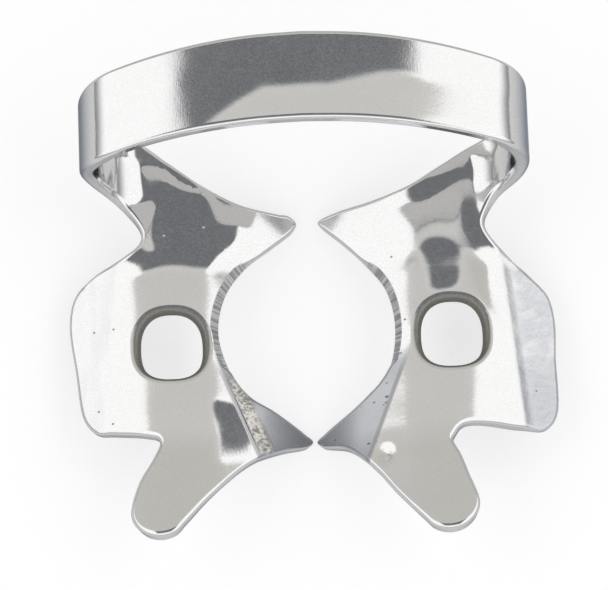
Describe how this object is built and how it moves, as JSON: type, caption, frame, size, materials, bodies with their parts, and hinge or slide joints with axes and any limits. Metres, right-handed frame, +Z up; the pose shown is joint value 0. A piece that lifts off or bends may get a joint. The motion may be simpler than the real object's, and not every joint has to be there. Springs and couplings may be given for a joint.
{
  "type": "rubber dam clamp",
  "caption": "Winged rubber dam clamp for a molar: one bent piece of polished spring steel with a bow, pointed prongs, side wings, front lobes and forceps holes.",
  "frame": {"origin": "on the table plane under the middle of the clamp's bounding box, at the level of the prong tips it stands on", "axes": "+X to the clamp's right side seen from above with the bow at the back, +Y from the front lobes towards the bow, +Z up"},
  "size_m": [0.0248, 0.025, 0.0104],
  "materials": {
    "steel": "polished spring stainless steel"
  },
  "bodies": {
    "root": {"clamp": "steel"}
  },
  "joints": []
}
